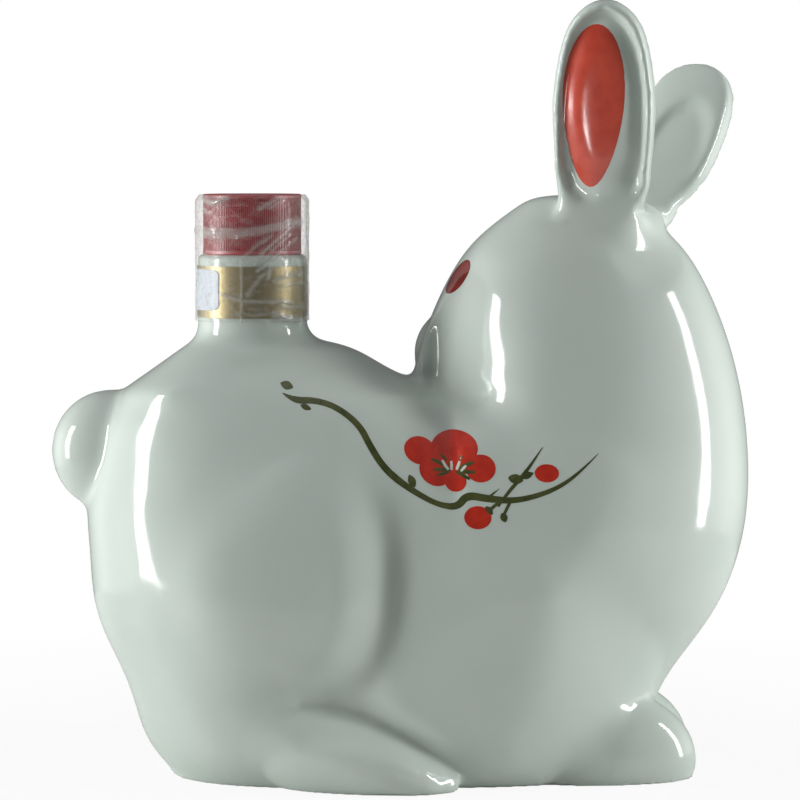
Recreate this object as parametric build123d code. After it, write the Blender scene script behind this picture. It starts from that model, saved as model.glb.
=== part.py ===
# A glazed porcelain liquor decanter shaped as a sitting rabbit that looks back over its haunch.
# The neck rises from the rump. A cork under a red ribbed head closes it, a gold paper band and a
# bare white sticker wrap the neck, and a clear seal film covers the head and the band.
# Sizes are millimetres. +X is the chest end, +Z is up, and the painted flank faces -Y.
# The origin is on the table, midway along the figure's length, on its middle plane.
import os
from math import cos, pi, radians, sin

from build123d import *

# Whole figure
figure_length = 181.0
overall_height = 198.5
wall = 5.0
base_thickness = 6.0
overrun = 5.0
quarter_turn = 90.0

# Trunk: the rump, the flanks and the back that slopes down to the chin
back_height = 114.4
flank_half_width = 36.0
flank_taper_share = 0.14
tail_stand_out = 9.5
chest_cover = 4.5
trunk_roundness = 2.5
section_points = 16
# height, rump end and chest end as shares of the trunk, half width as a share of the flank's
trunk_station_shares = [
    (0.000, 0.128, 0.856, 0.78),
    (0.035, 0.111, 0.865, 0.87),
    (0.079, 0.090, 0.874, 0.93),
    (0.162, 0.070, 0.883, 0.98),
    (0.297, 0.031, 0.922, 1.00),
    (0.437, 0.005, 0.976, 1.00),
    (0.546, 0.000, 0.997, 0.99),
    (0.660, 0.005, 0.990, 0.955),
    (0.765, 0.021, 0.930, 0.905),
    (0.813, 0.034, 0.840, 0.87),
    (0.857, 0.051, 0.690, 0.81),
    (0.892, 0.078, 0.505, 0.72),
    (0.935, 0.120, 0.445, 0.55),
    (0.978, 0.164, 0.365, 0.36),
    (1.000, 0.215, 0.305, 0.20),
]

# Chest and head: one upright egg, narrower from side to side
chest_radius = 45.1
chest_half_width = 32.5
crown_height = 149.7
# height as a share of the crown's, radius as a share of the chest's
chest_profile_shares = [
    (0.000, 0.300),
    (0.080, 0.400),
    (0.158, 0.530),
    (0.228, 0.692),
    (0.297, 0.840),
    (0.367, 0.933),
    (0.436, 0.984),
    (0.510, 1.000),
    (0.600, 0.984),
    (0.700, 0.925),
    (0.784, 0.838),
    (0.853, 0.735),
    (0.922, 0.575),
    (0.975, 0.360),
]

# Muzzle, turned away from the painted side
face_turn = 17.0
muzzle_radius = 12.5
muzzle_reach_share = 0.68
muzzle_height_share = 0.725

# Haunches, one on each flank. A haunch is short and steep towards the chest and long towards the rump.
# Places of limbs are shares of the trunk's length, the flank's half width and the back's height.
haunch_front_length = 22.0
haunch_rear_length = 42.0
haunch_half_width = 16.5
haunch_half_height = 42.0
haunch_place_shares = (0.377, 0.694, 0.445)

# Hind feet
hind_foot_half_length = 30.0
hind_foot_half_width = 12.0
hind_foot_half_height = 11.5
hind_foot_lean = 10.0
hind_foot_turn = 8.0
hind_foot_place_shares = (0.400, 0.725, 0.060)

# Front paws
paw_half_length = 25.5
paw_half_width = 13.0
paw_half_height = 18.0
paw_place_shares = (0.790, 0.333, 0.045)

# Tail
tail_half_length = 15.4
tail_half_width = 13.5
tail_half_height = 15.8
tail_height_share = 0.730

# Ears: blades with a flat front and a dish in it. The near one reaches the overall height.
far_ear_length = 65.2
ear_half_width = 13.0
ear_half_thickness = 5.4
ear_lens_half_width = 19.0
ear_lens_share = 0.3
ear_front = 2.5
ear_edge = 1.2
ear_rim = 2.1
ear_dish_depth = 3.0
ear_dish_skip_count = 2
ear_dish_corner = 5.0
ear_dish_round = 2.0
# height as a share of the blade's length, half width as a share of the blade's
near_ear_profile_shares = [
    (0.00, 0.50),
    (0.09, 0.70),
    (0.21, 0.88),
    (0.37, 0.94),
    (0.60, 1.00),
    (0.76, 0.91),
    (0.84, 0.82),
    (0.924, 0.63),
]
far_ear_profile_shares = [
    (0.00, 0.17),
    (0.20, 0.21),
    (0.31, 0.33),
    (0.40, 0.58),
    (0.48, 0.78),
    (0.56, 0.89),
    (0.68, 0.98),
    (0.78, 0.99),
    (0.87, 0.91),
    (0.94, 0.72),
]
# where each thing grows on the head: shares of the chest's radius and half width and the crown's height
near_ear_place_shares = (0.130, -0.37, 0.8945)
near_ear_lean = (12.0, 0.0, -14.0)
far_ear_place_shares = (0.392, 0.22, 0.849)
far_ear_lean = (-27.0, 15.5, 150.0)
crown_pit_radius = 1.2
crown_pit_depth = 2.0
crown_pit_place_shares = (0.42, -0.05, 0.965)

# Neck and mouth
neck_radius = 14.1
neck_place_share = 0.2563
neck_rise = 20.0
lip_round = 1.3
neck_blend = 5.5
bore_radius = 9.25
bore_edge = 0.4

# Foot: a flat ring round a shallow hollow under the base
foot_ring = 8.0
foot_hollow_depth = 1.5

# Cork stopper and its ribbed head
cork_running_clearance = 0.05
cork_in_neck = 17.0
cork_in_head = 5.0
cork_edge = 0.8
head_radius = 12.74
head_height = 15.5
head_top_thickness = 2.2
head_ledge = 1.2
head_edge = 0.5
head_band = 1.0
rib_count = 150
rib_depth = 0.25
rib_set_back = 0.08
rib_crest_share = 0.45
rib_root_share = 0.25

# Gold paper band and white sticker on the neck
band_height = 13.2
band_below_mouth = 2.9
paper_thickness = 0.15
paper_glue = 0.03
sticker_height = 10.5
sticker_length = 28.0
sticker_corner = 1.5
sticker_below_mouth = 3.7

# Clear seal film
film_thickness = 0.2
film_clearance = 0.15
film_below_band = 1.2
film_lap = 5.2
film_shoulder = 1.6

# Places worked out from the sizes above
rump_x = -figure_length / 2 + tail_stand_out
chest_x = figure_length / 2 - chest_radius
trunk_length = figure_length / 2 - chest_cover - rump_x
neck_x = rump_x + neck_place_share * trunk_length
mouth_height = back_height + neck_rise
cork_radius = bore_radius - cork_running_clearance
cork_bottom = mouth_height - cork_in_neck
cork_top = mouth_height + cork_in_head
head_top = mouth_height + head_height
band_top = mouth_height - band_below_mouth
band_bottom = band_top - band_height
band_radius = neck_radius + paper_glue + paper_thickness
sticker_radius = band_radius + paper_glue + paper_thickness
film_inner_radius = sticker_radius + film_clearance
film_bottom = band_bottom - film_below_band


def ellipsoid(half_length, half_width, half_height):
    # The poles lie along Y and the seam towards the rump, which keeps every exposed cap whole.
    ball = Rot(quarter_turn, 0, 0) * Rot(0, 0, 2 * quarter_turn) * Sphere(1)
    return scale(ball, by=(half_length, half_width, half_height))


def flattened_turning(shares, radius, half_width, floor, top):
    # A form of revolution about Z, from floor to its rounded top, flattened along Y.
    points = [(r * radius, floor + z * (top - floor)) for z, r in shares]
    foot = (0, floor)
    tip = (0, top)
    side = Spline(*points, tip, tangents=[(0, 1), (-1, 0)])
    outline = make_face([Line(foot, points[0]), side, Line(tip, foot)])
    turned = revolve(Plane.XZ * outline, axis=Axis.Z)
    return scale(turned, by=(1, half_width / radius, 1))


def oval(low_x, high_x, half_width):
    middle = (low_x + high_x) / 2
    half_length = (high_x - low_x) / 2
    power = 2 / trunk_roundness
    points = []
    for step in range(section_points):
        angle = 2 * pi * step / section_points
        along = abs(cos(angle)) ** power * (1 if cos(angle) > 0 else -1)
        across = abs(sin(angle)) ** power * (1 if sin(angle) > 0 else -1)
        taper = 1 - flank_taper_share * along
        points.append((middle + half_length * along, half_width * across * taper))
    return make_face(Spline(*points, periodic=True))


def trunk(inset, floor):
    # The trunk, drawn in by inset all round and standing on floor.
    top = back_height - inset
    sections = []
    for height_share, low_share, high_share, width_share in trunk_station_shares:
        low_x = rump_x + low_share * trunk_length + inset
        high_x = rump_x + high_share * trunk_length - inset
        half_width = max(width_share * flank_half_width - inset, inset / 2)
        height = floor + height_share * (top - floor)
        sections.append(Pos(0, 0, height) * oval(low_x, high_x, half_width))
    return loft(sections)


def chest(inset, floor):
    form = flattened_turning(
        chest_profile_shares, chest_radius - inset, chest_half_width - inset, floor, crown_height - inset
    )
    return Pos(chest_x, 0, 0) * form


def place(shares, side):
    along, across, up = shares
    return Pos(rump_x + along * trunk_length, side * across * flank_half_width, up * back_height)


def head_place(shares):
    along, across, up = shares
    return Pos(chest_x + along * chest_radius, across * chest_half_width, up * crown_height)


def haunch(inset, side):
    # Two half balls stretched to their own lengths meet at the widest place. Their poles and seams lie inside.
    form = Part()
    for length, heading in ((haunch_front_length, 1), (haunch_rear_length, -1)):
        half = Sphere(1, arc_size1=0, align=(Align.CENTER, Align.CENTER, Align.MIN))
        half = Rot(0, heading * quarter_turn, 0) * Rot(0, 0, -side * quarter_turn) * half
        form += scale(half, by=(length - inset, haunch_half_width - inset, haunch_half_height - inset))
    return place(haunch_place_shares, side) * form


def ear_outline(shares, length, inset):
    # The ear's outline above its lowest share, standing on the origin in the XZ plane.
    half = [(r * (ear_half_width - inset), z * (length - inset)) for z, r in shares]
    other = [(-x, z) for x, z in reversed(half)]
    side = Spline(*half, (0, length - inset), *other)
    return Plane.XZ * make_face([side, Line(other[-1], half[0])])


def ear(shares, length):
    # A blade cut from a lens, its flat front dished, facing -Y.
    ball = Rot(0, 0, -quarter_turn) * Sphere(1)
    lens = scale(ball, by=(ear_lens_half_width, ear_half_thickness, length))
    lens = Pos(0, 0, ear_lens_share * length) * lens
    stock = extrude(ear_outline(shares, length, 0), amount=-ear_front - ear_half_thickness)
    blade = lens & Pos(0, -ear_front, 0) * stock
    blade = fillet([e for e in blade.edges() if e.length > length], ear_edge)
    dish = extrude(ear_outline(shares[ear_dish_skip_count:], length, ear_rim), amount=-overrun - ear_dish_depth)
    dish = fillet(dish.edges().filter_by(Axis.Y), ear_dish_corner)
    dish = fillet(dish.edges().group_by(Axis.Y)[-1], ear_dish_round)
    return blade - Pos(0, -ear_front - overrun, 0) * dish


def cylinder(radius, low, high):
    return Pos(0, 0, low) * Cylinder(radius, high - low, align=(Align.CENTER, Align.CENTER, Align.MIN))


def sleeve(inner, outer, low, high):
    return cylinder(outer, low, high) - cylinder(inner, low - overrun, high + overrun)


def block(low, high):
    # Everything in the figure's footprint between two heights.
    return Pos(0, 0, low) * Box(
        2 * figure_length, 2 * figure_length, high - low, align=(Align.CENTER, Align.CENTER, Align.MIN)
    )


def neck():
    post = cylinder(neck_radius, back_height / 2, mouth_height)
    post = fillet(post.edges().sort_by(Axis.Z)[-1], lip_round)
    body = trunk(0, 0) + Pos(neck_x, 0, 0) * post
    foot = []
    for edge in body.edges():
        box = edge.bounding_box()
        if box.min.Z > base_thickness and box.max.Z < mouth_height - overrun:
            foot.append(edge)
    return fillet(foot, neck_blend)


def outer_form():
    body = neck() + chest(0, 0)
    for side in (-1, 1):
        body += haunch(0, side)
        foot = ellipsoid(hind_foot_half_length, hind_foot_half_width, hind_foot_half_height)
        body += place(hind_foot_place_shares, side) * Rot(0, hind_foot_lean, side * hind_foot_turn) * foot
        body += place(paw_place_shares, side) * ellipsoid(paw_half_length, paw_half_width, paw_half_height)
    tail = ellipsoid(tail_half_length, tail_half_width, tail_half_height)
    body += Pos(tail_half_length - figure_length / 2, 0, tail_height_share * back_height) * tail

    turn = radians(face_turn)
    reach = muzzle_reach_share * chest_radius
    muzzle_y = reach * sin(turn) * chest_half_width / chest_radius
    muzzle = ellipsoid(muzzle_radius, muzzle_radius, muzzle_radius)
    body += Pos(chest_x - reach * cos(turn), muzzle_y, muzzle_height_share * crown_height) * muzzle

    near_root = head_place(near_ear_place_shares)
    near_lean = Rot(*near_ear_lean)
    near_length = (overall_height - near_root.position.Z) / (near_lean * Pos(0, 0, 1)).position.Z
    body += near_root * near_lean * ear(near_ear_profile_shares, near_length)
    far_root = head_place(far_ear_place_shares)
    body += far_root * Rot(*far_ear_lean) * ear(far_ear_profile_shares, far_ear_length)
    return body - block(-overall_height, 0)


def hollow():
    # The liquor space: trunk, chest and haunches drawn in by the wall, and the bore up through the neck.
    space = trunk(wall, base_thickness) + chest(wall, base_thickness)
    for side in (-1, 1):
        space += haunch(wall, side)
    space -= block(-overall_height, base_thickness)
    bore = cylinder(bore_radius, back_height / 2, mouth_height + overrun)
    flare = Pos(0, 0, mouth_height - bore_edge) * Cone(
        bore_radius, bore_radius + overrun, overrun, align=(Align.CENTER, Align.CENTER, Align.MIN)
    )
    return space + Pos(neck_x, 0, 0) * (bore + flare)


def foot_hollow():
    low_share, high_share, width_share = trunk_station_shares[0][1:]
    low_x = rump_x + low_share * trunk_length + foot_ring
    high_x = rump_x + high_share * trunk_length - foot_ring
    under = oval(low_x, high_x, width_share * flank_half_width - foot_ring)
    return Pos(0, 0, -overrun) * extrude(under, amount=overrun + foot_hollow_depth)


def decanter():
    pit = head_place(crown_pit_place_shares) * cylinder(crown_pit_radius, -crown_pit_depth, overrun)
    body = outer_form() - pit
    return body - foot_hollow() - hollow()


def cap_head():
    # A ribbed drum between two smooth bands, bored in two steps for the cork and to keep its wall even.
    crest = head_radius - rib_set_back
    root = crest - rib_depth
    pitch = 2 * pi / rib_count
    corners = []
    for rib in range(rib_count):
        for radius, offset in (
            (crest, -rib_crest_share / 2),
            (crest, rib_crest_share / 2),
            (root, (1 - rib_root_share) / 2),
            (root, (1 + rib_root_share) / 2),
        ):
            angle = (rib + offset) * pitch
            corners.append((radius * cos(angle), radius * sin(angle)))
    drum = extrude(make_face(Polyline(*corners, close=True)), amount=head_height - 2 * head_band)
    drum = Pos(0, 0, mouth_height + head_band) * drum
    low_band = cylinder(head_radius, mouth_height, mouth_height + head_band)
    low_band = chamfer(low_band.edges().sort_by(Axis.Z)[0], rib_depth)
    top_band = cylinder(head_radius, head_top - head_band, head_top)
    top_band = fillet(top_band.edges().sort_by(Axis.Z)[-1], head_edge)
    bore = cylinder(bore_radius, mouth_height - overrun, cork_top)
    relief = cylinder(bore_radius - head_ledge, mouth_height, head_top - head_top_thickness)
    return Pos(neck_x, 0, 0) * (drum + low_band + top_band - bore - relief)


def cork():
    plug = cylinder(cork_radius, cork_bottom, cork_top)
    return Pos(neck_x, 0, 0) * chamfer(plug.edges().sort_by(Axis.Z)[0], cork_edge)


def neck_label():
    return Pos(neck_x, 0, 0) * sleeve(neck_radius + paper_glue, band_radius, band_bottom, band_top)


def volume_sticker():
    # A rounded rectangle wrapped on the band, its middle towards the rump.
    half_chord = sticker_radius * sin(sticker_length / 2 / sticker_radius)
    high = mouth_height - sticker_below_mouth
    middle = Plane(origin=(0, 0, high - sticker_height / 2), x_dir=(0, 1, 0), z_dir=(-1, 0, 0))
    patch = middle * RectangleRounded(2 * half_chord, sticker_height, sticker_corner)
    patch = extrude(patch, amount=2 * neck_radius)
    wrap = sleeve(band_radius + paper_glue, sticker_radius, band_bottom, band_top)
    return Pos(neck_x, 0, 0) * (wrap & patch)


def film_sleeve():
    # A tube round the neck and head whose top laps in over the head's rim.
    outer = film_inner_radius + film_thickness
    shell = cylinder(outer, film_bottom, head_top + film_thickness)
    shell = fillet(shell.edges().sort_by(Axis.Z)[-1], film_shoulder + film_thickness)
    inside = cylinder(film_inner_radius, film_bottom - overrun, head_top)
    inside = fillet(inside.edges().sort_by(Axis.Z)[-1], film_shoulder)
    opening = cylinder(film_inner_radius - film_lap, head_top - overrun, head_top + overrun)
    return Pos(neck_x, 0, 0) * (shell - inside - opening)


os.makedirs("parts", exist_ok=True)
nodes = {
    "decanter_body": decanter(),
    "cap_head": cap_head(),
    "cork": cork(),
    "neck_label": neck_label(),
    "volume_sticker": volume_sticker(),
    "film_sleeve": film_sleeve(),
}
for name, shape in nodes.items():
    export_step(shape, "parts/" + name + ".step")
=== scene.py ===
import math

import bmesh
import bpy
import numpy as np
from mathutils import Matrix, Vector, noise
from mathutils.bvhtree import BVHTree


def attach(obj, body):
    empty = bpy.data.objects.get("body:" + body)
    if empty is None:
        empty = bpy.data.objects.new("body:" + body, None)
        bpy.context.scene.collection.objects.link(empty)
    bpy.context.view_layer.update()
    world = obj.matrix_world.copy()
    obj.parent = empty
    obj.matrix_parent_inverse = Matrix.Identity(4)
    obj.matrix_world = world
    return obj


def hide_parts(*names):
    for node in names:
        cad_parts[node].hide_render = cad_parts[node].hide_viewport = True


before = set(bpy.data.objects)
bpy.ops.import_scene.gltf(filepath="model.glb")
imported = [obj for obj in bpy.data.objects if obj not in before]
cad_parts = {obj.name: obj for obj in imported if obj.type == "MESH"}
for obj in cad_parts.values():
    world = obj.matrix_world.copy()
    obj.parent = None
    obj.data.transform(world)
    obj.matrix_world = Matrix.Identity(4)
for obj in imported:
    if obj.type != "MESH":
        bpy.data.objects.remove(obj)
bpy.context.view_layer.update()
mm = 0.001  # every table below is in millimetres, Blender works in metres
bellEnd = 2.5  # a bell curve is left off beyond this many of its widths
scene = bpy.context.scene
print("frame loaded:", ", ".join(sorted(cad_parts)))


def hexColour(text):  # sRGB hex to the linear colour that shaders take
    parts = [int(text[i:i + 2], 16) / 255 for i in (1, 3, 5)]
    linear = [c / 12.92 if c <= 0.04045 else ((c + 0.055) / 1.055) ** 2.4 for c in parts]
    return (*linear, 1)


def smoothStep(low, high, value):
    share = min(1, max(0, (value - low) / (high - low)))
    return share * share * (3 - 2 * share)


def addObject(name, mesh, smooth=True):
    made = bpy.data.objects.new(name, mesh)
    scene.collection.objects.link(made)
    if smooth:
        mesh.shade_smooth()
    return made


def bakedMesh(source):  # the mesh that the modifiers give
    graph = bpy.context.evaluated_depsgraph_get()
    return bpy.data.meshes.new_from_object(source.evaluated_get(graph))


def settle(piece, body, slot, *stoodFor):
    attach(piece, body)
    if stoodFor:
        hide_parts(*stoodFor)
    print("piece:", piece.name, len(piece.data.polygons), "faces")


def newMaterial(name):
    made = bpy.data.materials.new(name)
    made.use_nodes = True
    tree = made.node_tree
    place = tree.nodes.new("ShaderNodeTexCoord").outputs["Object"]
    return made, tree, tree.nodes["Principled BSDF"], place


def addNode(tree, kind, inputs=None, **settings):
    made = tree.nodes.new(kind)
    for key, value in settings.items():
        setattr(made, key, value)
    for key, value in (inputs or {}).items():
        if isinstance(value, bpy.types.NodeSocket):
            tree.links.new(value, made.inputs[key])
        else:
            made.inputs[key].default_value = value
    return made


def perMetre(sizeMm):  # pattern scale for a feature of this size on Object coordinates
    return 1 / (sizeMm * mm)


# Glazed porcelain and its painted colours

glaze = {
    "colour": "#D2DCD5", "thickGlaze": "#C3D0C8", "index": 1.52, "gloss": (0.06, 0.13),
    "cloud": 34, "ripple": 9, "rippleHeight": 0.4, "pinhole": 1.6,
}


def glazeFinish(tree, shader, place, gloss, index):  # wet and faintly uneven, for bare and painted glaze
    ripple = addNode(tree, "ShaderNodeTexNoise", {
        "Vector": place, "Scale": perMetre(glaze["ripple"]), "Detail": 1.5, "Roughness": 0.4})
    dust = addNode(tree, "ShaderNodeTexNoise", {
        "Vector": place, "Scale": perMetre(glaze["pinhole"]), "Detail": 2})
    dull = addNode(tree, "ShaderNodeMapRange", {
        "Value": dust.outputs["Fac"], "To Min": gloss[0], "To Max": gloss[1]})
    bump = addNode(tree, "ShaderNodeBump", {
        "Height": ripple.outputs["Fac"], "Strength": 0.16, "Distance": glaze["rippleHeight"] * mm})
    tree.links.new(dull.outputs["Result"], shader.inputs["Roughness"])
    tree.links.new(bump.outputs["Normal"], shader.inputs["Normal"])
    shader.inputs["IOR"].default_value = index


# Feldspathic porcelain, slip-cast, dipped in clear glaze: cool greenish white, darker in pools, mirror gloss
def glazedPorcelain():
    made, tree, shader, place = newMaterial("glazed_porcelain_dipped")
    cloud = addNode(tree, "ShaderNodeTexNoise", {
        "Vector": place, "Scale": perMetre(glaze["cloud"]), "Detail": 3, "Roughness": 0.55})
    body = addNode(tree, "ShaderNodeMix", {
        "Factor": cloud.outputs["Fac"], "A": hexColour(glaze["colour"]),
        "B": hexColour(glaze["thickGlaze"])}, data_type="RGBA")
    tree.links.new(body.outputs[2], shader.inputs["Base Color"])
    glazeFinish(tree, shader, place, glaze["gloss"], glaze["index"])
    return made


# Metal-oxide colours brushed on the ware: even to the eye, with the darker drag of a brush in them
def paintedGlaze(name, colour, shade, stroke, gloss=glaze["gloss"], index=glaze["index"]):
    made, tree, shader, place = newMaterial(name)
    wash = addNode(tree, "ShaderNodeTexNoise", {
        "Vector": place, "Scale": perMetre(stroke), "Detail": 3, "Roughness": 0.6})
    tone = addNode(tree, "ShaderNodeMapRange", {
        "Value": wash.outputs["Fac"], "From Min": 0.35, "From Max": 0.65})
    mixed = addNode(tree, "ShaderNodeMix", {
        "Factor": tone.outputs["Result"], "A": hexColour(colour), "B": hexColour(shade)}, data_type="RGBA")
    tree.links.new(mixed.outputs[2], shader.inputs["Base Color"])
    glazeFinish(tree, shader, place, gloss, index)
    return made


porcelain = glazedPorcelain()
earRed = paintedGlaze("iron_red_enamel", "#D6503A", "#C6422E", 7, (0.12, 0.24), 1.8)  # softer gloss
blossomRed = paintedGlaze("bright_red_under_glaze", "#CE3420", "#B92A1B", 4)  # clean scarlet petals
eyeRed = paintedGlaze("dark_red_under_glaze", "#8E3429", "#6F2A24", 3)  # brownish red eyes
branchGreen = paintedGlaze("dark_olive_under_glaze", "#3D4522", "#555A30", 3)  # nearly black green branch
stamenWhite = paintedGlaze("white_slip_under_glaze", "#DDE2D8", "#C8D0C6", 2)  # raised white dabs
print("glaze materials ready")


# The porcelain shell: the CAD casting, its joints softened as glaze and slip soften them

shell = {
    "cell": 0.8, "weld": 0.001, "lightSteps": 3, "softSteps": 40, "valleySteps": 300,
    "faceLimit": 190000, "flank": 36, "earShare": 0.32,
    "neckAxis": (-38.2, 0), "neckRadius": 20, "neckFoot": (112, 118),
    "earRoots": (146, 154), "footing": (2, 9),
    "cavityFloor": (0, 0, 6.2), "boreTop": 112, "broad": (6, 118), "broadShare": 0.12,
    # Valleys: centre, reach and share of the places where two forms run into each other with no edge
    "valleys": (
        ((-46, -34, 92), 18, 1), ((-50, -34, 78), 18, 1), ((-52, -34, 64), 18, 1),
        ((-52, -34, 50), 18, 1), ((-48, -34, 36), 18, 1), ((-40, -34, 26), 16, 1),
        ((-30, -34, 98), 14, 1), ((44, -28, 74), 16, 1), ((46, -28, 60), 16, 1), ((48, -26, 46), 16, 1),
        ((-14, -34, 84), 14, 0.7), ((-8, -34, 74), 14, 0.7), ((-5, -34, 62), 14, 0.7),
        ((-5, -34, 50), 14, 0.7), ((-8, -34, 38), 13, 0.6), ((-16, -34, 28), 12, 0.4),
        ((42, -28, 10), 16, 1), ((46, -26, 20), 15, 1), ((54, -22, 28), 10, 0.7),
        ((24, -30, 93), 11, 0.8), ((29, -31, 86), 14, 1), ((33, -32, 79), 14, 1),
        ((38, -33, 72), 14, 1), ((41, -18, 149), 8, 0.8), ((62, -17, 143), 10, 1),
        ((62, -11, 142), 10, 1), ((58, -20, 146), 9, 0.8), ((50, -22, 144), 10, 0.8),
        ((63, -20, 138), 11, 1), ((63, -12, 136), 11, 1),
    ),
    # Carving: x, z and depth along a line, outwards, so grooves are negative, and the reach left and right
    "carving": (
        {"name": "thigh crease", "reach": (7.5, 4.2),
         "line": ((-18, 84, 0), (-11, 78, -1.6), (-5, 69, -3.0), (-2.6, 56, -3.4), (-3.6, 43, -3.4),
                  (-9, 33, -3.0), (-18, 25, -2.4))},
        {"name": "thigh top", "reach": (16, 12),
         "line": ((-26, 82, -0.6), (-22, 68, -1.6), (-20, 52, -2.1), (-22, 36, -1.6), (-28, 26, -0.6))},
        {"name": "chest swell", "reach": (24, 21),
         "line": ((46, 92, 1.0), (44, 82, 4.0), (41, 66, 6.0), (38, 50, 6.8), (36, 34, 6.4),
                  (34, 18, 4.0))},
        {"name": "cheek", "reach": (22, 10),
         "line": ((15, 104, -8), (15, 109, -9), (13, 118, -8), (14, 128, -6), (22, 138, -2))},
        {"name": "cheek hollow", "reach": (14, 5),
         "line": ((14, 100, -3), (13, 105, -6), (13, 114, -6), (14, 122, -5), (17, 130, -3.5))},
        {"name": "chin crease", "reach": (2.8, 2.8),
         "line": ((5, 103.5, -2), (9, 101.2, -5), (14, 99.4, -4.5), (20, 98.4, -3), (28, 99, 0))},
        {"name": "muzzle crease", "reach": (3.4, 3.6),
         "line": ((9, 98, -2), (9, 104, -11), (9, 114, -11), (11, 121, -1))},
        {"name": "ear root", "reach": (6, 9),
         "line": ((61.5, 152, -2), (63, 144, -8), (64.5, 136, -7), (67, 126, 0))},
        {"name": "rump edge", "reach": (20, 10),
         "line": ((-70, 98, -2), (-74, 84, -4), (-76, 70, -5), (-75, 56, -5), (-72, 40, -5), (-66, 24, -4),
                  (-62, 14, -3))},
        {"name": "rear thigh", "reach": (9, 9),
         "line": ((-44, 86, 0), (-50, 72, 0.8), (-52, 56, 1.2), (-50, 40, 0.8), (-44, 26, 0))},
        {"name": "foot groove", "reach": (3.4, 3.6),
         "line": ((-40, 23.5, 0), (-29, 23.2, -2.4), (-16, 22.4, -4.4), (-7, 19.4, -4.6), (3, 13.2, -4.2),
                  (12, 6.0, -3.2))},
        {"name": "hind foot", "reach": (6, 6),
         "line": ((-40, 11, 0), (-26, 12, 1.8), (-14, 11, 2.4), (-2, 8, 2.2), (6, 5, 1.0))},
    ),
    # Dishes on the ears: x and z of the middle, half sizes, lean, soft share of the reach, depth and side
    "dishes": (
        {"middle": (72.4, 160.5), "half": (8.6, 18), "lean": 27, "edge": 0.40, "depth": 2.4, "side": 1},
        {"middle": (51.0, 172.0), "half": (11.8, 28), "lean": -2, "edge": 0.50, "depth": -3.0, "side": -1},
    ),
    "dishFoot": 140, "dishFront": -0.2,
    "web": {"centre": (60, 0, 141.5), "half": (8.6, 16, 7)},  # runs from one ear root to the other
    "dent": {"place": (61.4, 145.8), "reach": 1.25, "depth": 2.0},  # the vent between them
}


def carve(mesh):  # pushes the flanks out or in along y, both sides alike and the inner wall with the outer
    places = np.empty(len(mesh.vertices) * 3)
    mesh.vertices.foreach_get("co", places)
    places = places.reshape(-1, 3)
    x, y, z = (places / mm).T
    push = np.zeros(len(x))
    for row in shell["carving"]:
        line, (leftReach, rightReach) = row["line"], row["reach"]
        nearest, depth, side = np.full(len(x), 1e9), np.zeros(len(x)), np.zeros(len(x))
        for (x0, z0, d0), (x1, z1, d1) in zip(line, line[1:]):
            dx, dz = x1 - x0, z1 - z0
            along = np.clip(((x - x0) * dx + (z - z0) * dz) / (dx * dx + dz * dz), 0, 1)
            gap = np.hypot(x - x0 - along * dx, z - z0 - along * dz)
            closer = gap < nearest
            nearest = np.where(closer, gap, nearest)
            depth = np.where(closer, d0 + (d1 - d0) * along, depth)
            side = np.where(closer, (x - x0 - along * dx) * abs(dz) + (z - z0 - along * dz) * abs(dx), side)
        reach = np.where(side < 0, leftReach, rightReach)
        push += depth * np.exp(-(nearest / reach) ** 2)
    places[:, 1] *= 1 + push / shell["flank"]
    normals = np.empty(len(places) * 3)
    mesh.vertices.foreach_get("normal", normals)
    ears = (normals.reshape(-1, 3)[:, 1] < shell["dishFront"]) & (z > shell["dishFoot"])
    for row in shell["dishes"]:
        turn, (middleX, middleZ) = math.radians(row["lean"]), row["middle"]
        across = (x - middleX) * math.cos(turn) - (z - middleZ) * math.sin(turn)
        along = (x - middleX) * math.sin(turn) + (z - middleZ) * math.cos(turn)
        hollow = np.clip((1 - np.hypot(across / row["half"][0], along / row["half"][1])) / row["edge"], 0, 1)
        hollow = hollow * hollow * (3 - 2 * hollow)
        places[:, 1] += np.where(ears & (y * row["side"] > 0), hollow * row["depth"] * mm, 0)
    mesh.vertices.foreach_set("co", places.ravel())
    mesh.update()
    print("carved:", ", ".join(row["name"] for row in shell["carving"]))


def shellWeights(point):  # shares of light, soft and valley smoothing at a point in millimetres
    x, y, z = point
    fromNeck = math.hypot(x - shell["neckAxis"][0], y - shell["neckAxis"][1])
    onNeck = smoothStep(*shell["neckFoot"], z) if fromNeck < shell["neckRadius"] else 0
    onEar = smoothStep(*shell["earRoots"], z)
    offFloor = smoothStep(*shell["footing"], z)
    light = offFloor * (1 - onNeck)
    soft = light * (1 - (1 - shell["earShare"]) * onEar)
    valley = 0
    for centre, reach, share in shell["valleys"]:
        gap = math.dist((x, -abs(y), z), centre)
        valley = max(valley, share * (1 - smoothStep(reach * 0.5, reach, gap)))
    return light, soft, valley * soft


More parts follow.
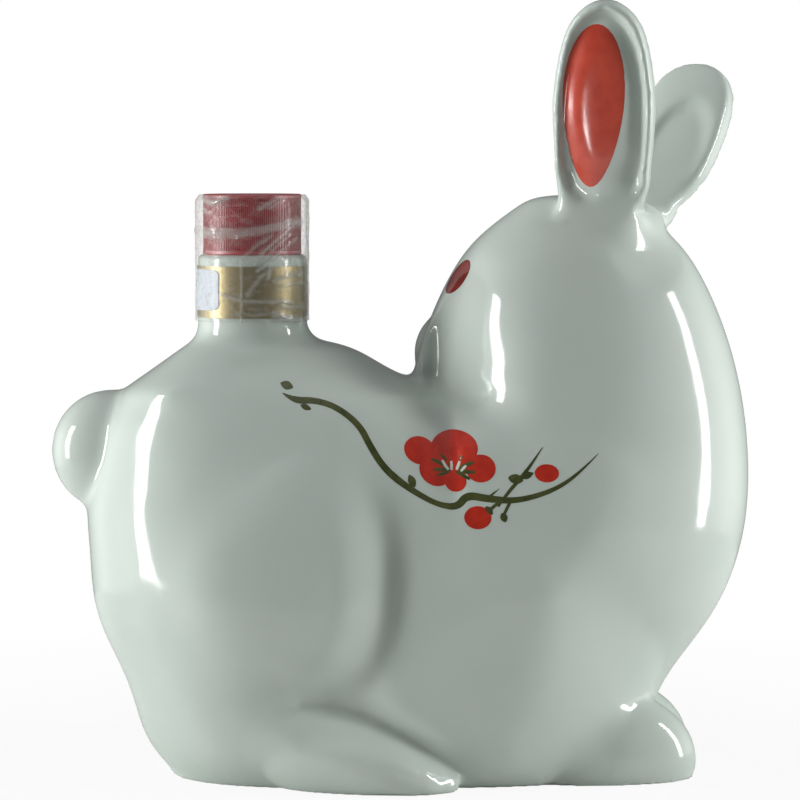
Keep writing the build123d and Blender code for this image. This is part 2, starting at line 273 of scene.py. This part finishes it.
def addShell():
    source = bmesh.new()
    source.from_mesh(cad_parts["decanter_body"].data)
    bmesh.ops.remove_doubles(source, verts=source.verts, dist=shell["weld"] * mm)
    stretch = Matrix.Diagonal((*(half * mm for half in shell["web"]["half"]), 1))
    place = Matrix.Translation(Vector(shell["web"]["centre"]) * mm)
    bmesh.ops.create_icosphere(source, subdivisions=4, radius=1, matrix=place @ stretch)
    mesh = bpy.data.meshes.new("casting")
    source.to_mesh(mesh)
    source.free()
    work = addObject("casting", mesh)
    cells = work.modifiers.new("cells", "REMESH")
    cells.mode, cells.voxel_size = "VOXEL", shell["cell"] * mm
    work.data = bakedMesh(work)
    work.modifiers.clear()
    carve(work.data)
    groups = [work.vertex_groups.new(name=n) for n in ("light", "soft", "valley", "hidden")]
    for vertex in work.data.vertices:
        for group, share in zip(groups, shellWeights(vertex.co / mm)):
            if share > 0:
                group.add([vertex.index], share, "REPLACE")
    for name in ("light", "soft", "valley"):
        rub = work.modifiers.new(name, "SMOOTH")
        rub.factor, rub.iterations, rub.vertex_group = 0.5, shell[name + "Steps"], name
    work.data = bakedMesh(work)
    work.modifiers.clear()
    dent = shell["dent"]
    for vertex in work.data.vertices:
        x, y, z = vertex.co / mm
        gap = math.hypot(x - dent["place"][0], z - dent["place"][1]) / dent["reach"]
        if y < 0 and gap < bellEnd:
            vertex.co.y += dent["depth"] * math.exp(-gap * gap) * mm
    print("shell remeshed:", len(work.data.polygons), "faces")
    hideCavity(work, groups[3])
    thin = work.modifiers.new("thin", "DECIMATE")
    thin.vertex_group = "hidden"
    thin.ratio = shell["faceLimit"] / (2 * len(work.data.polygons))
    mesh = bakedMesh(work)
    bpy.data.objects.remove(work)
    made = addObject("rabbit_shell", mesh)
    mesh.materials.clear()
    mesh.materials.append(porcelain)
    settle(made, "root", "porcelain", "decanter_body")
    return made


def hideCavity(work, group):  # weighs the inside for thinning, flooding up from the cavity floor to the bore
    mesh = bmesh.new()
    mesh.from_mesh(work.data)
    mesh.verts.ensure_lookup_table()
    seed = min(mesh.verts, key=lambda v: (v.co - Vector(shell["cavityFloor"]) * mm).length)
    found, edge = {seed.index}, [seed]
    while edge:
        nearby = []
        for vertex in edge:
            for link in vertex.link_edges:
                other = link.other_vert(vertex)
                if other.index not in found and other.co.z < shell["boreTop"] * mm:
                    found.add(other.index)
                    nearby.append(other)
        edge = nearby
    low, high = shell["broad"]
    for vertex in mesh.verts:  # the outside gets a small share, so that broad flanks thin a little too
        broad = shell["broadShare"] if low <= (vertex.co / mm).z <= high else 0
        group.add([vertex.index], 1 if vertex.index in found else broad, "REPLACE")
    mesh.free()
    print("cavity:", len(found), "vertices")


rabbit = addShell()
skin = bmesh.new()
skin.from_mesh(rabbit.data)
skinTree = BVHTree.FromBMesh(skin)  # what the paint is laid on


# Paint: thin closed lenses of colour, laid on the skin along one direction

paint = {
    "lift": 0.03, "swell": 0.04, "strokeSwell": 1.2, "reach": 60, "sharpTurn": 60, "around": 40, "rows": 18,
}


def layOn(point, facing, height):  # drops a point in metres onto the skin against the facing direction
    start = point + facing * paint["reach"] * mm
    place, normal, _, _ = skinTree.ray_cast(start, -facing)
    if place is None:
        place, normal, _, _ = skinTree.find_nearest(point)
    return place + normal * height * mm


def addLens(mesh, spot, centre, facing, upright):  # one oval of paint, pinched to points where asked
    right = upright.cross(facing).normalized()
    upward = facing.cross(right).normalized()
    turn = math.radians(spot.get("turn", 0))
    made = bmesh.ops.create_uvsphere(
        mesh, u_segments=paint["around"], v_segments=paint["rows"], radius=1)
    for vertex in made["verts"]:
        x, y, z = vertex.co
        pinch = 1 - spot.get("pinch", 0) * y * y
        lean = spot.get("lean", 0) * y
        across, along = spot["half"][0] * x * pinch * (1 + lean), spot["half"][1] * y
        flatX = across * math.cos(turn) - along * math.sin(turn)
        flatY = across * math.sin(turn) + along * math.cos(turn)
        point = centre * mm + (right * flatX + upward * flatY) * mm
        height = paint["lift"] + spot.get("over", 0) + paint["swell"] * z
        height += spot.get("crown", 0) * max(0, z) ** 2
        vertex.co = layOn(point, facing, height)


def finishPaint(name, mesh, material):
    bmesh.ops.recalc_face_normals(mesh, faces=mesh.faces)
    data = bpy.data.meshes.new(name)
    mesh.to_mesh(data)
    mesh.free()
    made = addObject(name, data)
    data.set_sharp_from_angle(angle=math.radians(paint["sharpTurn"]))
    data.materials.append(material)
    settle(made, "root", "porcelain")
    return made


def skinAt(x, z, side):  # where the skin stands at x and z, seen from one side
    place = skinTree.ray_cast(Vector((x, 200 * side, z)) * mm, Vector((0, -side, 0)))[0]
    return place / mm


faceMarks = (
    {"name": "ear_paint_near", "centre": (49.1, -19.0, 172.5), "facing": (-0.24, -0.95, -0.20),
     "upright": (-0.02, -0.22, 0.975), "half": (7.9, 20.9), "turn": -3,
     "pinch": 0.04, "lean": 0.16, "crown": 0.6, "finish": earRed},
    {"name": "ear_paint_far", "centre": skinAt(75.0, 163.0, 1), "facing": (0.48, 0.71, -0.51),
     "upright": (0.27, 0.44, 0.86), "half": (7.2, 17.0),
     "pinch": 0.04, "lean": 0.16, "crown": 0.6, "finish": earRed},
    {"name": "eye_near", "centre": (14.1, -5.9, 129.2), "facing": (-0.80, -0.31, 0.51),
     "upright": (0.6, -0.3, 0.75), "half": (3.3, 5.3), "finish": eyeRed},
    {"name": "eye_far", "centre": skinAt(21.5, 129.2, 1), "facing": (-0.49, 0.70, 0.51),
     "upright": (0.66, -0.09, 0.75), "half": (3.3, 5.3), "finish": eyeRed},
)
for mark in faceMarks:
    oval = bmesh.new()
    addLens(oval, mark, Vector(mark["centre"]), Vector(mark["facing"]).normalized(), Vector(mark["upright"]))
    finishPaint(mark["name"], oval, mark["finish"])


# The plum spray: a plain traditional five-petal flower, two buds and a bare branch

spray = {
    "depth": -30, "facing": (0, -1, 0),
    "branch": (  # x, z and brush half width
        ((-29.5, 100.3, 0.1), (-26.5, 98.4, 0.95), (-21.5, 98.6, 0.75), (-16.0, 97.0, 0.75),
         (-10.2, 92.6, 0.8), (-7.4, 87.2, 0.85), (-4.4, 82.4, 0.85), (-0.8, 79.0, 0.9),
         (4.2, 75.6, 0.75), (9.6, 72.8, 0.65), (14.4, 72.2, 0.95), (16.6, 75.4, 1.0), (21.5, 74.5, 0.95),
         (29.0, 73.8, 0.75), (38.0, 76.4, 0.6), (44.4, 80.6, 0.4), (49.4, 85.6, 0.08)),
        ((24.4, 72.6, 0.35), (26.8, 75.8, 0.45), (30.0, 79.4, 0.5), (32.6, 82.6, 0.4), (35.6, 87.2, 0.1)),
        ((21.6, 74.2, 0.5), (23.0, 75.6, 0.3), (24.8, 76.9, 0.06)),
        ((27.4, 73.6, 0.4), (26.4, 71.6, 0.45), (25.6, 70.0, 0.3)),
        ((24.8, 73.8, 0.4), (22.6, 71.8, 0.5), (21.6, 71.2, 0.3)),
    ),
    "leaves": (  # x and z, half sizes, turn and pinch
        {"at": (-28.5, 102.1), "half": (1.0, 1.7), "turn": 70, "pinch": 0.5},
        {"at": (-23.6, 96.9), "half": (0.7, 1.5), "turn": 68, "pinch": 0.6},
        {"at": (3.0, 78.6), "half": (0.95, 1.7), "turn": 25, "pinch": 0.5},
        {"at": (28.9, 79.3), "half": (1.2, 1.9), "turn": 80, "pinch": 0.3},
        {"at": (31.6, 80.2), "half": (0.9, 1.8), "turn": -70, "pinch": 0.6},
        {"at": (25.9, 69.9), "half": (0.9, 1.2), "turn": 20, "pinch": 0.3},
        {"at": (22.2, 71.6), "half": (0.8, 1.3), "turn": 40, "pinch": 0.4},
    ),
    "petals": (
        {"at": (5.0, 86.0), "half": (4.1, 3.3), "turn": -25}, {"at": (13.6, 86.6), "half": (5.9, 4.4)},
        {"at": (20.2, 81.8), "half": (3.7, 3.4)}, {"at": (8.8, 81.0), "half": (4.2, 3.4), "turn": -35},
        {"at": (13.9, 78.6), "half": (2.7, 2.6)}, {"at": (13.0, 83.0), "half": (5.0, 3.6)},
    ),
    "buds": ({"at": (36.6, 80.8), "half": (3.0, 2.25)}, {"at": (19.4, 69.8), "half": (3.4, 2.85)}),
    "stamens": (
        ((7.8, 83.9, 0.25), (10.0, 82.9, 0.75), (12.4, 81.9, 0.4)),
        ((8.2, 81.2, 0.3), (10.4, 81.5, 0.7), (12.8, 81.3, 0.4)),
        ((10.2, 85.0, 0.3), (11.6, 83.6, 0.7), (12.9, 82.0, 0.35)),
        ((15.6, 84.8, 0.25), (14.9, 83.2, 0.6), (13.8, 81.8, 0.3)),
        ((18.4, 83.4, 0.3), (16.4, 82.4, 0.8), (14.2, 81.6, 0.4)),
        ((18.8, 80.9, 0.3), (16.6, 80.9, 0.75), (14.2, 81.2, 0.35)),
        ((17.4, 79.2, 0.3), (15.6, 80.2, 0.65), (13.8, 81.0, 0.3)),
        ((9.0, 79.9, 0.25), (10.8, 80.4, 0.6), (12.6, 80.9, 0.3)),
    ),
    "tips": (
        ((10.6, 83.6, 0.3), (11.2, 82.3, 0.42), (12.2, 81.3, 0.3)),
        ((12.9, 83.4, 0.25), (13.0, 82.2, 0.42), (12.9, 81.2, 0.3)),
        ((15.0, 83.4, 0.3), (14.6, 82.3, 0.42), (14.2, 81.3, 0.3)),
        ((16.6, 82.5, 0.25), (15.9, 81.8, 0.4), (15.3, 81.0, 0.25)),
    ),
}


def addStrokes(mesh, lines, over=0.0):  # brush strokes: round strings on smooth lines, pressed onto the skin
    for line in lines:
        curve = bpy.data.curves.new("stroke", "CURVE")
        curve.dimensions, curve.bevel_depth, curve.bevel_resolution = "3D", mm, 3
        curve.use_fill_caps, curve.resolution_u = True, 8
        spline = curve.splines.new("NURBS")
        spline.points.add(len(line) - 1)
        for point, (x, z, half) in zip(spline.points, line):
            point.co, point.radius = (x * mm, 0, z * mm, 1), half
        spline.order_u, spline.use_endpoint_u = 3, True
        string = bpy.data.objects.new("stroke", curve)
        scene.collection.objects.link(string)
        drawn = bakedMesh(string)
        for vertex in drawn.vertices:
            x, y, z = vertex.co
            flat = Vector((x, spray["depth"] * mm, z))
            height = paint["lift"] + over - paint["strokeSwell"] * paint["swell"] * y / mm
            vertex.co = layOn(flat, Vector(spray["facing"]), height)
        mesh.from_mesh(drawn)
        bpy.data.objects.remove(string)
        bpy.data.meshes.remove(drawn)
    bmesh.ops.remove_doubles(mesh, verts=mesh.verts, dist=0.002 * mm)


def addSpots(mesh, spots, stacked=0.0):
    for count, spot in enumerate(spots):
        centre = Vector((spot["at"][0], spray["depth"], spot["at"][1]))
        raised = {**spot, "over": stacked * count}
        addLens(mesh, raised, centre, Vector(spray["facing"]), Vector((0, 0, 1)))


strokes = bmesh.new()
addSpots(strokes, spray["leaves"])
addStrokes(strokes, spray["branch"])
finishPaint("spray_branch", strokes, branchGreen)
flower = bmesh.new()
addSpots(flower, spray["petals"], stacked=0.004)
addSpots(flower, spray["buds"])
finishPaint("spray_flower", flower, blossomRed)
stamens = bmesh.new()
addStrokes(stamens, spray["stamens"], over=0.04)
finishPaint("spray_stamens", stamens, branchGreen)
tips = bmesh.new()
addStrokes(tips, spray["tips"], over=0.07)
finishPaint("spray_stamen_tips", tips, stamenWhite)
skin.free()


# Stopper: the ribbed head and its cork stay as the CAD gives them, with their own finish

# ABS coloured through, injection moulded: even burgundy red, soft gloss on the ribs
def mouldedPlastic():
    made, tree, shader, place = newMaterial("abs_plastic_moulded")
    speck = addNode(tree, "ShaderNodeTexNoise", {"Vector": place, "Scale": perMetre(0.8), "Detail": 2})
    mixed = addNode(tree, "ShaderNodeMix", {
        "Factor": speck.outputs["Fac"],
        "A": hexColour("#BC3640"), "B": hexColour("#A62C37")}, data_type="RGBA")
    bump = addNode(tree, "ShaderNodeBump", {
        "Height": speck.outputs["Fac"], "Strength": 0.1, "Distance": 0.1 * mm})
    tree.links.new(mixed.outputs[2], shader.inputs["Base Color"])
    tree.links.new(bump.outputs["Normal"], shader.inputs["Normal"])
    shader.inputs["Roughness"].default_value = 0.42
    shader.inputs["Coat Weight"].default_value = 0.8
    shader.inputs["Coat Roughness"].default_value = 0.36
    shader.inputs["Coat IOR"].default_value = 1.6
    shader.inputs["IOR"].default_value = 1.53
    return made


# Agglomerated cork, ground and glued: warm tan granules with dark gaps, matt
def gluedCork():
    made, tree, shader, place = newMaterial("cork_agglomerated")
    grains = addNode(tree, "ShaderNodeTexVoronoi", {"Vector": place, "Scale": perMetre(2.2)})
    tone = addNode(tree, "ShaderNodeMix", {
        "Factor": grains.outputs["Distance"],
        "A": hexColour("#C79A66"), "B": hexColour("#8A5F38")}, data_type="RGBA")
    bump = addNode(tree, "ShaderNodeBump", {
        "Height": grains.outputs["Distance"], "Strength": 0.5, "Distance": 0.3 * mm})
    tree.links.new(tone.outputs[2], shader.inputs["Base Color"])
    tree.links.new(bump.outputs["Normal"], shader.inputs["Normal"])
    shader.inputs["Roughness"].default_value = 0.85
    return made


# Gold foil laminated on paper, rolled on: warm satin metal with fine lines round the neck
def goldFoil():
    made, tree, shader, place = newMaterial("gold_foil_laminated")
    stretched = addNode(tree, "ShaderNodeMapping", {"Vector": place, "Scale": (1, 1, 0.05)})
    lines = addNode(tree, "ShaderNodeTexNoise", {
        "Vector": stretched.outputs["Vector"], "Scale": perMetre(0.9), "Detail": 2})
    mixed = addNode(tree, "ShaderNodeMix", {
        "Factor": lines.outputs["Fac"],
        "A": hexColour("#B5A783"), "B": hexColour("#918460")}, data_type="RGBA")
    bump = addNode(tree, "ShaderNodeBump", {
        "Height": lines.outputs["Fac"], "Strength": 0.12, "Distance": 0.1 * mm})
    tree.links.new(mixed.outputs[2], shader.inputs["Base Color"])
    tree.links.new(bump.outputs["Normal"], shader.inputs["Normal"])
    shader.inputs["Metallic"].default_value = 1
    shader.inputs["Roughness"].default_value = 0.42
    return made


# Coated label paper, die-cut: cool white, barely glossy
def coatedPaper():
    made, tree, shader, place = newMaterial("label_paper_coated")
    fibre = addNode(tree, "ShaderNodeTexNoise", {"Vector": place, "Scale": perMetre(1.2), "Detail": 4})
    mixed = addNode(tree, "ShaderNodeMix", {
        "Factor": fibre.outputs["Fac"],
        "A": hexColour("#D3DAE2"), "B": hexColour("#C6CED8")}, data_type="RGBA")
    tree.links.new(mixed.outputs[2], shader.inputs["Base Color"])
    shader.inputs["Roughness"].default_value = 0.45
    return made


for nodeName, finish, slotName in (
        ("cap_head", mouldedPlastic(), "cap_plastic"), ("cork", gluedCork(), "cork"),
        ("neck_label", goldFoil(), "gold_paper"), ("volume_sticker", coatedPaper(), "white_paper")):
    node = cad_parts[nodeName]
    node.data.materials.clear()
    node.data.materials.append(finish)
print("stopper, band and sticker finished")


# Film: a thin clear sleeve, loose round the stopper, creased where it was pulled tight

film = {
    "axis": (-38.2, 0), "radius": 14.68, "bottom": 117.3, "shoulder": 147.6, "top": 149.75,
    "lap": 9.6, "around": 300, "rows": 120, "wall": 0.1,
    "slack": 0.08, "shoulderDrop": 0.9, "lapShare": 0.3, "weld": 0.005,
    "waves": ((26, 6, 3, 0.22), (9, 3, 8, 0.1)),  # degrees, rise, seed and depth
    # Creases: angle from the camera side and height along a fold; then its half width, rise and whiteness
    "creases": (
        (((-80, 140.6), (-40, 139.9), (-12, 139.9), (12, 140.8), (34, 142.2),
         (60, 142.9)), 1.1, 0.32, 0.36),
        (((-80, 139.3), (-35, 138.8), (-15, 139.0), (8, 140.2), (40, 141.4)), 0.35, 0.20, 0.35),
        (((-72, 141.6), (-40, 141.0), (-5, 140.9), (14, 141.7), (46, 143.4)), 0.35, 0.20, 0.35),
        (((-60, 149.2), (-40, 147.6), (-24, 149.0)), 0.8, 0.25, 0.45),
        (((-62, 146.8), (-48, 145.4)), 0.7, 0.2, 0.3),
        (((10, 146.4), (30, 149.2)), 0.5, 0.2, 0.35),
        (((20, 146.6), (38, 148.9)), 0.4, 0.2, 0.3),
        (((4, 132.4), (16, 136.0), (34, 139.8), (50, 142.4)), 0.6, 0.22, 0.35),
        (((12, 132.8), (26, 136.6), (44, 139.8)), 0.4, 0.2, 0.3),
        (((-8, 133.4), (8, 137.2), (22, 139.4)), 0.5, 0.2, 0.25),
        (((20, 133.2), (34, 136.0), (52, 138.6)), 0.4, 0.2, 0.3),
        (((8, 130.6), (22, 133.2), (30, 133.6)), 0.6, 0.25, 0.4),
        (((20, 131.8), (18, 128.8)), 0.6, 0.25, 0.45),
        (((-2, 124.6), (10, 128.8), (22, 131.2)), 0.6, 0.22, 0.3),
        (((24, 128.0), (40, 129.0), (60, 129.6)), 0.7, 0.25, 0.35),
        (((28, 126.2), (44, 127.0), (62, 127.2)), 0.5, 0.2, 0.25),
        (((30, 121.6), (46, 120.8), (62, 121.4)), 0.6, 0.25, 0.3),
        (((-30, 124.4), (-14, 123.2), (10, 122.6), (30, 122.7), (48, 122.0)), 0.45, 0.22, 0.40),
        (((-14, 119.8), (4, 119.2), (22, 119.8)), 0.5, 0.2, 0.2),
        (((24, 119.4), (44, 117.9), (60, 117.4)), 0.8, 0.3, 0.5),
        (((30, 117.9), (52, 118.6)), 0.5, 0.25, 0.4),
        (((-8, 133), (-8, 126), (-8, 117.4)), 0.25, 0.45, 0.40),
        (((70, 148), (72, 138), (71, 126), (74, 118)), 1.2, 0.3, 0.4),
        (((-74, 147), (-76, 138), (-73, 128)), 0.9, 0.25, 0.3),
    ),
}


def creaseAt(angle, height):  # fold height and its streak at a place on the unrolled film
    lift, streak = 0, 0
    for line, half, rise, white in film["creases"]:
        for (a0, z0), (a1, z1) in zip(line, line[1:]):
            scale = math.radians(1) * film["radius"]
            px, pz, dx, dz = (angle - a0) * scale, height - z0, (a1 - a0) * scale, z1 - z0
            along = min(1, max(0, (px * dx + pz * dz) / (dx * dx + dz * dz)))
            gap = math.hypot(px - along * dx, pz - along * dz) / half
            if gap < bellEnd:
                bulge = math.exp(-gap * gap)
                lift, streak = max(lift, rise * bulge), max(streak, white * bulge)
    return lift, streak


def addFilm():
    mesh = bmesh.new()
    fold = mesh.verts.layers.float.new("crease")
    bmesh.ops.create_grid(mesh, x_segments=film["around"], y_segments=film["rows"], size=0.5)
    length = film["top"] - film["bottom"] + film["radius"] - film["lap"]
    for vertex in mesh.verts:
        angle = vertex.co.x * 360
        run = (vertex.co.y + 0.5) * length
        height = min(film["top"], film["bottom"] + run)
        inward = max(0, run - (film["top"] - film["bottom"]))
        rounded = smoothStep(film["shoulder"], film["top"], height)
        radius = film["radius"] - film["shoulderDrop"] * rounded ** 2 - inward
        lift, streak = creaseAt(angle, height)
        for degrees, rise, seed, depth in film["waves"]:
            lift += noise.noise(Vector((angle / degrees, height / rise, seed))) * depth
        radius += max(0, lift + film["slack"]) * (1 if inward == 0 else film["lapShare"])
        turn = math.radians(angle - 90)
        vertex[fold] = streak
        x, y = film["axis"]
        vertex.co = Vector((x + radius * math.cos(turn), y + radius * math.sin(turn), height)) * mm
    bmesh.ops.remove_doubles(mesh, verts=mesh.verts, dist=film["weld"] * mm)
    bmesh.ops.recalc_face_normals(mesh, faces=mesh.faces)
    data = bpy.data.meshes.new("film_wrap")
    mesh.to_mesh(data)
    mesh.free()
    made = addObject("film_wrap", data)
    wall = made.modifiers.new("wall", "SOLIDIFY")
    wall.thickness, wall.offset = film["wall"] * mm, -1
    return made


# Shrink film, blown PVC: clear, white only where it is folded or seen edge on
def shrinkFilm():
    made, tree, shader, place = newMaterial("pvc_film_blown")
    fold = addNode(tree, "ShaderNodeAttribute", attribute_name="crease")
    edge = addNode(tree, "ShaderNodeLayerWeight", {"Blend": 0.35})
    haze = addNode(tree, "ShaderNodeMath", {0: edge.outputs["Facing"], 1: 2.0}, operation="POWER")
    base = addNode(tree, "ShaderNodeMath", {0: haze.outputs[0], 1: 0.34, 2: 0.035}, operation="MULTIPLY_ADD")
    slanted = addNode(tree, "ShaderNodeMapping", {
        "Vector": place, "Rotation": (0, 0.7, 0), "Scale": (0.25, 1, 1)})
    silk = addNode(tree, "ShaderNodeTexNoise", {
        "Vector": slanted.outputs["Vector"], "Scale": perMetre(1.1), "Detail": 3, "Roughness": 0.6})
    streaks = addNode(tree, "ShaderNodeMapRange", {
        "Value": silk.outputs["Fac"], "From Min": 0.48, "From Max": 0.75, "To Min": 0.0, "To Max": 0.16})
    veil = addNode(tree, "ShaderNodeMath", {
        0: base.outputs[0], 1: streaks.outputs["Result"]}, operation="ADD")
    clear = addNode(tree, "ShaderNodeMath", {
        0: fold.outputs["Fac"], 1: 0.75, 2: veil.outputs[0]}, operation="MULTIPLY_ADD", use_clamp=True)
    tree.links.new(clear.outputs[0], shader.inputs["Alpha"])
    shader.inputs["Base Color"].default_value = hexColour("#C6C8C2")
    shader.inputs["Roughness"].default_value = 0.16
    shader.inputs["IOR"].default_value = 1.54
    return made


wrap = addFilm()
wrap.data.materials.append(shrinkFilm())
settle(wrap, "film", "seal_film", "film_sleeve")


# Studio: two tall soft boxes, a low strip that only the ear mirrors, and a white sweep

studio = {
    "camera": (0, -850, 160.5), "target": (0, 0, 96.5), "lens": 147.8, "clip": (0.01, 50),
    "floorReach": 0.30, "floorColour": "#F2F2F0", "fade": (0.10, 0.28), "fadeWhite": 0.90,
    "wallLight": 2.2, "wallSharpness": 10, "wallBack": 0.17, "ceilingLight": 0.6, "ceilingSharpness": 4,
    "roomLight": 0.02, "mirrorWhite": 0.12, "lampAim": (0, 0, 0.15),
}
lamps = (  # bearing from the camera side in degrees, distance, height, size across and up, watts
    {"name": "left_softbox", "bearing": -79, "away": 1.05, "height": 0.23,
     "size": (0.20, 0.74), "power": 8.6},
    {"name": "low_strip", "bearing": -31, "away": 0.53, "height": -0.18,
     "size": (0.045, 0.25), "power": 0.8},
    {"name": "right_softbox", "bearing": 79, "away": 1.05, "height": 0.28,
     "size": (0.12, 1.0), "power": 8.0},
)
camera = bpy.data.objects.new("camera", bpy.data.cameras.new("camera"))
scene.collection.objects.link(camera)
camera.data.lens = studio["lens"]
camera.data.clip_start, camera.data.clip_end = studio["clip"]
camera.location = Vector(studio["camera"]) * mm
aim = Vector(studio["target"]) * mm - camera.location
camera.rotation_euler = aim.to_track_quat("-Z", "Y").to_euler()
scene.camera = camera

for row in lamps:
    lamp = bpy.data.lights.new(row["name"], "AREA")
    lamp.shape, lamp.size, lamp.size_y, lamp.energy = "RECTANGLE", *row["size"], row["power"]
    made = bpy.data.objects.new(row["name"], lamp)
    scene.collection.objects.link(made)
    bearing = math.radians(row["bearing"])
    made.location = Vector((math.sin(bearing), -math.cos(bearing), 0)) * row["away"]
    made.location.z = row["height"]
    toward = Vector(studio["lampAim"]) - made.location
    made.rotation_euler = toward.to_track_quat("-Z", "Y").to_euler()

scene.view_settings.view_transform = "Standard"
world = bpy.data.worlds.new("studio")
scene.world = world
world.use_nodes = True
sky = world.node_tree
path = addNode(sky, "ShaderNodeLightPath")
seen = addNode(sky, "ShaderNodeMath", {
    0: path.outputs["Is Camera Ray"], 1: path.outputs["Is Transmission Ray"]},
    operation="ADD", use_clamp=True)
mirrored = addNode(sky, "ShaderNodeMath", {
    0: path.outputs["Is Glossy Ray"], 1: studio["mirrorWhite"], 2: seen.outputs[0]},
    operation="MULTIPLY_ADD", use_clamp=True)
ray = addNode(sky, "ShaderNodeSeparateXYZ", {0: addNode(sky, "ShaderNodeTexCoord").outputs["Generated"]})
sideways = addNode(sky, "ShaderNodeMath", {0: ray.outputs["X"]}, operation="ABSOLUTE")
behind = addNode(sky, "ShaderNodeMath", {
    0: ray.outputs["Y"], 1: studio["wallBack"], 2: sideways.outputs[0]},
    operation="MULTIPLY_ADD", use_clamp=True)
glow = addNode(sky, "ShaderNodeMath", {0: behind.outputs[0], 1: studio["wallSharpness"]}, operation="POWER")
walls = addNode(sky, "ShaderNodeMath", {
    0: glow.outputs[0], 1: studio["wallLight"], 2: studio["roomLight"]}, operation="MULTIPLY_ADD")
overhead = addNode(sky, "ShaderNodeMath", {0: ray.outputs["Z"], 1: 0.0}, operation="MAXIMUM")
ceiling = addNode(sky, "ShaderNodeMath", {
    0: overhead.outputs[0], 1: studio["ceilingSharpness"]}, operation="POWER")
room = addNode(sky, "ShaderNodeMath", {
    0: ceiling.outputs[0], 1: studio["ceilingLight"], 2: walls.outputs[0]}, operation="MULTIPLY_ADD")
tone = addNode(sky, "ShaderNodeMix", {
    "Factor": mirrored.outputs[0], "A": room.outputs[0], "B": (1, 1, 1, 1)}, data_type="RGBA")
sky.links.new(tone.outputs[2], sky.nodes["Background"].inputs["Color"])

floorMesh = bmesh.new()
bmesh.ops.create_circle(floorMesh, cap_ends=True, segments=96, radius=studio["floorReach"])
floorData = bpy.data.meshes.new("floor")
floorMesh.to_mesh(floorData)
floorMesh.free()
floor = addObject("floor", floorData, smooth=False)
# Backdrop paper, rolled out and matt: an even white that takes a soft shadow and fades out at its rim
paper, tree, shader, place = newMaterial("backdrop_paper_matt")
reach = addNode(tree, "ShaderNodeVectorMath", {0: place}, operation="LENGTH")
fade = addNode(tree, "ShaderNodeMapRange", {
    "Value": reach.outputs["Value"], "From Min": studio["fade"][0], "From Max": studio["fade"][1],
    "To Min": studio["fadeWhite"], "To Max": 1.0})
lit = addNode(tree, "ShaderNodeLightPath")
direct = addNode(tree, "ShaderNodeMath", {
    0: lit.outputs["Is Camera Ray"], 1: lit.outputs["Is Transmission Ray"]},
    operation="ADD", use_clamp=True)
share = addNode(tree, "ShaderNodeMath", {
    0: direct.outputs[0], 1: fade.outputs["Result"]}, operation="MULTIPLY")
white = addNode(tree, "ShaderNodeEmission", {"Color": (1, 1, 1, 1)})
shader.inputs["Base Color"].default_value = hexColour(studio["floorColour"])
shader.inputs["Roughness"].default_value = 0.9
blend = addNode(tree, "ShaderNodeMixShader", {
    0: share.outputs[0], 1: shader.outputs["BSDF"], 2: white.outputs["Emission"]})
tree.links.new(blend.outputs["Shader"], tree.nodes["Material Output"].inputs["Surface"])
floorData.materials.append(paper)
print("studio ready:", len(lamps), "lamps")
